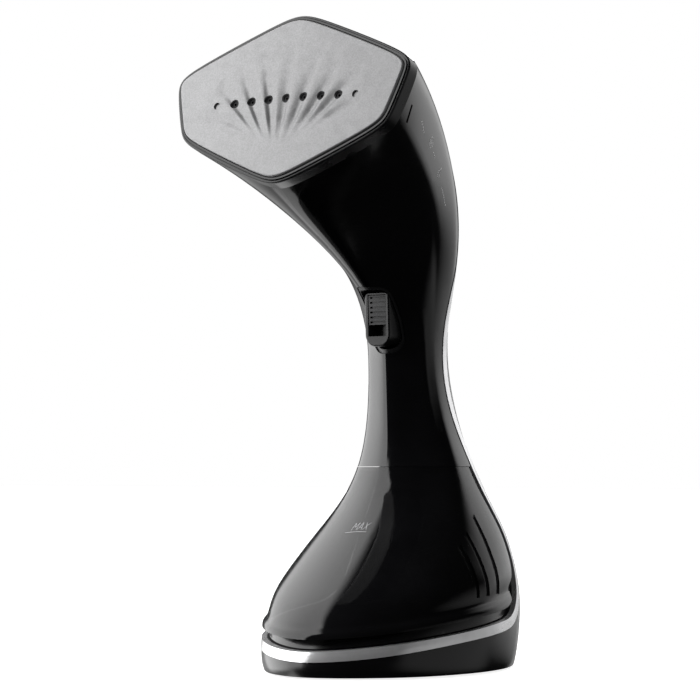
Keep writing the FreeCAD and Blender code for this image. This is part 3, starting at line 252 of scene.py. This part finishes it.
# Foot, middle and tip of each flute on the right-hand side, from the middle one outwards;
# a flute with no middle of its own runs through its port.
FLUTES = [((0, -21.8), None, (0, 27.0)), ((2.8, -21.4), None, (15.3, 24.6)),
          ((5.9, -20.0), None, (25.6, 18.0)), ((10.6, -18.2), None, (37.0, 9.4)),
          ((16.7, -15.3), (30.1, -8.2), (41.0, -5.8))]
FLUTE_DEEP = 0.95 * MM
OUTER_FLUTE_DEEP = 0.65 * MM
FOOT_WIDE, GROWTH, GROWTH_POWER = 1.3, 2.9, 1.1
# A flute slopes gently on its side towards the middle and steeply on the other.
GENTLE_SIDE, STEEP_SIDE = 1.25, 0.6
# Shares of a flute's length over which it fades in at the foot and out at the tip.
FADE_IN, FADE_OUT = 0.3, 0.5


def flute_line(i, count=48):
    """The middle line of one flute: from the fan's foot, through its port, outwards."""
    foot, port, tip = FLUTES[abs(i)]
    if port is None:
        port = (abs(port_spot(i)[0]) / MM, port_spot(i)[1] / MM)
    mirror = np.array([-1.0 if i < 0 else 1.0, 1.0]) * MM
    foot, port, tip = (np.array(p) * mirror for p in (foot, port, tip))
    t = np.linspace(0, 1, count)[:, None]
    bend = 2 * port - (foot + tip) / 2
    line = foot * (1 - t) ** 2 + bend * 2 * t * (1 - t) + tip * t ** 2
    return line, t[:, 0]


def flute_depth(x, y):
    """How far the fan of flutes sinks the plate at each point."""
    depth = np.zeros_like(x)
    for i in range(-LAST_PORT, LAST_PORT + 1):
        line, t = flute_line(i)
        gap = np.hypot(x[:, None] - line[None, :, 0], y[:, None] - line[None, :, 1])
        nearest = gap.argmin(1)
        d = gap[np.arange(len(x)), nearest]
        along = t[nearest]
        step = np.gradient(line, axis=0)[nearest]
        side = np.sign(step[:, 0] * (y - line[nearest, 1]) - step[:, 1] * (x - line[nearest, 0]))
        side = side * (1 if i >= 0 else -1)
        wide = (FOOT_WIDE + GROWTH * along ** GROWTH_POWER) * MM
        wide = np.where(side > 0, wide * GENTLE_SIDE, wide * STEEP_SIDE)
        fade = np.clip(along / FADE_IN, 0, 1) ** 1.3 * np.clip((1 - along) / FADE_OUT, 0, 1)
        deepest = FLUTE_DEEP if abs(i) < LAST_PORT else OUTER_FLUTE_DEEP
        depth = np.maximum(depth, deepest * fade * np.exp(-(d / wide) ** 2))
    return depth


def cylinder_cutter(name, spots):
    """Round cutters in the plate's frame, each (x, y, radius, floor)."""
    cutter = bmesh.new()
    for x, y, radius, low in spots:
        high = 3 * MM
        place = HEAD @ Matrix.Translation((x, y, (low + high) / 2))
        bmesh.ops.create_cone(cutter, cap_ends=True, segments=48, radius1=radius, radius2=radius,
                              depth=high - low, matrix=place)
    mesh = bpy.data.meshes.new(name)
    cutter.to_mesh(mesh)
    cutter.free()
    thing = bpy.data.objects.new(name, mesh)
    bpy.context.collection.objects.link(thing)
    return thing


def steam_plate():
    """The fluted plate: a fine polar mesh in the plate's outline, with the ports cut through."""
    around, rings = 640, 120
    edge_bends = np.radians([22, 45, 67, 90])
    reach = outline(around)
    angles = np.arange(around) * 2 * math.pi / around
    shares = np.linspace(0, 1, rings + 1)[1:]
    points = [(0.0, 0.0, 0.0)]
    for share in shares:
        r = (reach - PLATE_BEVEL) * share
        points += list(zip(r * np.cos(angles), r * np.sin(angles), np.zeros(around)))
    for bend in edge_bends:
        r = reach - PLATE_BEVEL + PLATE_BEVEL * math.sin(bend)
        height = -PLATE_BEVEL + PLATE_BEVEL * math.cos(bend)
        points += list(zip(r * np.cos(angles), r * np.sin(angles), np.full(around, height)))
    points += list(zip(reach * np.cos(angles), reach * np.sin(angles), np.full(around, -PLATE_THICK)))
    points.append((0.0, 0.0, -PLATE_THICK))
    points = np.array(points)
    top = 1 + rings * around
    points[:top, 2] -= flute_depth(points[:top, 0], points[:top, 1])
    faces = [(0, 1 + k, 1 + (k + 1) % around) for k in range(around)]
    rows = rings + len(edge_bends) + 1
    for j in range(rows - 1):
        a, b = 1 + j * around, 1 + (j + 1) * around
        faces += [(a + k, b + k, b + (k + 1) % around, a + (k + 1) % around) for k in range(around)]
    last = 1 + (rows - 1) * around
    faces += [(len(points) - 1, last + (k + 1) % around, last + k) for k in range(around)]
    placed = [HEAD @ Vector(p) for p in points]
    piece = new_piece("steam_plate", placed, faces, "housing", "plate_aluminium")
    through = -PLATE_THICK - 2 * MM
    spots = [(*port_spot(i), PORT_RADIUS, through) for i in range(1 - LAST_PORT, LAST_PORT)]
    spots += [(*port_spot(i), DIMPLE_RADIUS, -DIMPLE_DEEP) for i in (-LAST_PORT, LAST_PORT)]
    cutter = cylinder_cutter("port_cutter", spots)
    cut = piece.modifiers.new("ports", "BOOLEAN")
    cut.object = cutter
    cut.solver = "EXACT"
    graph = bpy.context.evaluated_depsgraph_get()
    done = bpy.data.meshes.new_from_object(piece.evaluated_get(graph))
    piece.modifiers.clear()
    piece.data = done
    done.set_sharp_from_angle(angle=math.radians(50))
    bpy.data.objects.remove(cutter)
    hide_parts("soleplate")


steam_plate()


# ---------------------------------------------------------------- printed marks

STROKE_STEP = 0.5 * MM
STROKE_RISE = 0.05 * MM
STROKE_SINK = 0.08 * MM
SEARCH_FROM = 0.02


def arc(x, y, rx, ry, start, end, count=18):
    """Points on part of an ellipse, angles in degrees."""
    turns = [math.radians(start + (end - start) * k / (count - 1)) for k in range(count)]
    return [(x + rx * math.cos(t), y + ry * math.sin(t)) for t in turns]


def resampled(line, step):
    """The same line with points no further apart than step."""
    points = [Vector(line[0])]
    for a, b in zip(line, line[1:]):
        a, b = Vector(a), Vector(b)
        parts = max(1, math.ceil((b - a).length / step))
        points += [a.lerp(b, (k + 1) / parts) for k in range(parts)]
    return points


def print_on(name, lines, origin, right, up, width, cad_node, body, slot):
    """Thin raised strokes laid on a CAD node's surface; lines are in mm in the mark's plane."""
    tree = surface_tree(cad_node)
    right = Vector(right).normalized()
    up = (Vector(up) - right * right.dot(Vector(up))).normalized()
    out = right.cross(up)
    origin = Vector(origin)
    half = width * MM / 2
    points, faces = [], []
    for line in lines:
        path = resampled([(x * MM, y * MM) for x, y in line], STROKE_STEP)
        first = len(points)
        for k, spot in enumerate(path):
            ahead = (path[min(k + 1, len(path) - 1)] - path[max(k - 1, 0)]).normalized()
            side = Vector((-ahead.y, ahead.x))
            for sign in (1, -1):
                flat = spot + side * (half * sign)
                place = origin + right * flat.x + up * flat.y
                hit, normal = tree.ray_cast(place + out * SEARCH_FROM, -out)[:2]
                if normal.dot(out) < 0:
                    normal = -normal
                points += [hit + normal * STROKE_RISE, hit - normal * STROKE_SINK]
        count = len(path)
        for k in range(count - 1):
            a, b = first + 4 * k, first + 4 * k + 4
            faces += [(a, a + 2, b + 2, b), (a + 1, b + 1, b + 3, a + 3),
                      (a, b, b + 1, a + 1), (a + 2, a + 3, b + 3, b + 2)]
        end = first + 4 * (count - 1)
        faces += [(first, first + 1, first + 3, first + 2), (end, end + 2, end + 3, end + 1)]
    return new_piece(name, points, faces, body, slot, smooth=False)


def slanted(line, lean=0.22):
    """A letter's stroke, leant over and drawn tall to suit the sloping tank."""
    return [(x * 0.9 + y * lean, y * 1.5) for x, y in line]


# The fill mark's letters, then the line under them.
FILL_MARK = [slanted(line) for line in (
    [(-4.6, 0), (-4.4, 3), (-3.2, 1), (-2.0, 3), (-1.8, 0)],
    [(-1.2, 0), (0.1, 3), (1.3, 0)],
    [(-0.75, 1.05), (0.9, 1.05)],
    [(2.0, 0), (4.2, 3)],
    [(2.0, 3), (4.2, 0)])]
FILL_MARK.append([(-7.0, -1.3), (4.6, -1.3)])
print_on("fill_mark", FILL_MARK, (-0.0019, -0.0275, 0.0628), (1, 0, 0), (0, 0.76, 0.65), 0.22,
         "tank_shell", "water_tank", "print_grey")

WISP_HEIGHTS = [k * 0.3 - 1.2 for k in range(9)]
WISP = [[(x + 0.45 * math.sin(y * 2.1), y) for y in WISP_HEIGHTS] for x in (-0.9, 0, 0.9)]
STEAM_ICON = [arc(0, 0, 2.3, 2.3, 60, 400, 30)] + WISP
DROP = arc(0, -0.5, 1.5, 1.5, 140, 400, 22)
DROP_ICON = [DROP + [(0, 2.4), DROP[0]]]
ICONS = [("steam_icon", STEAM_ICON, (0.0453, -0.0433, 0.2312)),
         ("drop_icon", DROP_ICON, (0.0392, -0.0266, 0.2200))]
for icon, lines, spot in ICONS:
    print_on(icon, lines, spot, (-0.2, 0.83, -0.52), (0.05, 0.52, 0.85), 0.32,
             "front_housing", "housing", "print_pale")
# Rows of dashes between and below the icons: where each is centred, and its length in mm.
RULES = [((0.0490, -0.0568, 0.2358), 8.5), ((0.0424, -0.0360, 0.2258), 6.5),
         ((0.0347, -0.0150, 0.2105), 14.0)]
DASH_PITCH, DASH_LONG = 1.7, 1.0
for number, (spot, length) in enumerate(RULES):
    starts = [-length / 2 + k * DASH_PITCH for k in range(int(length / DASH_PITCH))]
    dashes = [[(start, 0), (start + DASH_LONG, 0)] for start in starts]
    print_on("print_rule_%d" % number, dashes, spot, (-0.2, 0.78, -0.58), (0.05, 0.58, 0.8), 0.6,
             "front_housing", "housing", "print_pale")

# ---------------------------------------------------------------- stage, light and camera

floor_mesh = bpy.data.meshes.new("floor")
floor_mesh.from_pydata([(-8, -8, 0), (8, -8, 0), (8, 8, 0), (-8, 8, 0)], [], [(0, 1, 2, 3)])
floor = bpy.data.objects.new("floor", floor_mesh)
bpy.context.collection.objects.link(floor)
floor.location.z = -0.0002
paper = bpy.data.materials.new("paper")
paper.use_nodes = True
paper_shader = paper.node_tree.nodes["Principled BSDF"]
paper_shader.inputs["Base Color"].default_value = (0.8, 0.8, 0.8, 1)
paper_shader.inputs["Roughness"].default_value = 0.9
paper_shader.inputs["Emission Color"].default_value = (1, 1, 1, 1)
paper_shader.inputs["Emission Strength"].default_value = 0.85
floor_mesh.materials.append(paper)
floor.visible_glossy = False
floor.visible_diffuse = False

# Each panel: compass angle and height it stands at, half width, half height, edge softness
# (all as tangents), brightness at its left and right, and how far it is slid upwards.
PANELS = [
    (-165, 25, 1.15, 1.0, 0.14, 3.4, 1.9, 0),
    (80, 18, 0.4, 0.4, 0.22, 1.35, 1.15, 0),
    (150, 0, 1.5, 2.5, 0.12, 1.8, 1.8, -3.2),
    (150, 0, 1.19, 0.33, 0.08, 0.5, 0.5, -0.36),
    (75, 0, 0.45, 2.2, 0.12, 1.1, 0.35, -4.3),
    (20, -10, 0.75, 0.3, 0.2, 0.35, 0.35, 0),
]
AMBIENT = 0.012

world = bpy.data.worlds.new("studio")
bpy.context.scene.world = world
world.use_nodes = True
tree = world.node_tree
tree.nodes.clear()
way = add(tree, "ShaderNodeTexCoord").outputs["Generated"]


def along(vector):
    """How far the looked-in direction points along a vector."""
    node = add(tree, "ShaderNodeVectorMath", {0: way, 1: tuple(vector)}, operation="DOT_PRODUCT")
    return node.outputs["Value"]


total = None
for turn, lift, wide, tall, soft, left, right, slide in PANELS:
    turn, lift = math.radians(turn), math.radians(lift)
    ahead = Vector((math.cos(lift) * math.cos(turn), math.cos(lift) * math.sin(turn), math.sin(lift)))
    across = ahead.cross(Vector((0, 0, 1))).normalized()
    upward = across.cross(ahead).normalized()
    depth = calc(tree, "MAXIMUM", along(ahead), 0.001)
    u = calc(tree, "DIVIDE", along(across), depth)
    v = calc(tree, "SUBTRACT", calc(tree, "DIVIDE", along(upward), depth), slide)
    inside = calc(tree, "MULTIPLY",
                  ramp(tree, calc(tree, "ABSOLUTE", u), wide + soft, wide - soft),
                  ramp(tree, calc(tree, "ABSOLUTE", v), tall + soft, tall - soft))
    facing = calc(tree, "GREATER_THAN", along(ahead), 0.02)
    level = ramp(tree, u, -wide, wide, left, right, smooth=False)
    light = calc(tree, "MULTIPLY", calc(tree, "MULTIPLY", inside, facing), level)
    total = light if total is None else calc(tree, "ADD", total, light)
total = calc(tree, "ADD", total, AMBIENT)
seen = add(tree, "ShaderNodeLightPath").outputs["Is Camera Ray"]
studio = add(tree, "ShaderNodeBackground", {"Color": (1, 1, 1, 1), "Strength": total})
backdrop = add(tree, "ShaderNodeBackground", {"Color": (1, 1, 1, 1), "Strength": 1.0})
mixed = add(tree, "ShaderNodeMixShader", {0: seen, 1: studio.outputs[0], 2: backdrop.outputs[0]})
add(tree, "ShaderNodeOutputWorld", {"Surface": mixed.outputs[0]})


def area_light(name, position, target, size, power):
    """A rectangular lamp turned to its target, not seen in reflections."""
    lamp = bpy.data.lights.new(name, "AREA")
    lamp.shape = "RECTANGLE"
    lamp.size, lamp.size_y = size
    lamp.energy = power
    thing = bpy.data.objects.new(name, lamp)
    thing.location = position
    thing.rotation_euler = (Vector(target) - Vector(position)).to_track_quat("-Z", "Y").to_euler()
    thing.visible_glossy = False
    bpy.context.collection.objects.link(thing)


MIDDLE = (0, 0, 0.15)
area_light("key", (-0.9, -1.3, 1.1), MIDDLE, (0.9, 0.9), 16)
area_light("fill", (1.4, -0.8, 0.7), MIDDLE, (1.0, 1.0), 5)
area_light("back", (0.3, 1.6, 0.9), MIDDLE, (1.2, 1.2), 8)

CAMERA_TURN = math.radians(32.5)
CAMERA_PLACE = Vector((0.6125, -0.9994, 0.091))
CAMERA_PITCH = math.radians(2.59)
SENSOR_WIDE = 36.0
FOCAL_LENGTH = 132.685714
lens = bpy.data.cameras.new("camera")
lens.sensor_width = SENSOR_WIDE
lens.lens = FOCAL_LENGTH
lens.clip_end = 50.0
camera = bpy.data.objects.new("camera", lens)
camera.location = CAMERA_PLACE
camera.rotation_euler = (math.pi / 2 + CAMERA_PITCH, 0, CAMERA_TURN)
bpy.context.collection.objects.link(camera)
bpy.context.scene.camera = camera
bpy.context.scene.view_settings.view_transform = "Standard"
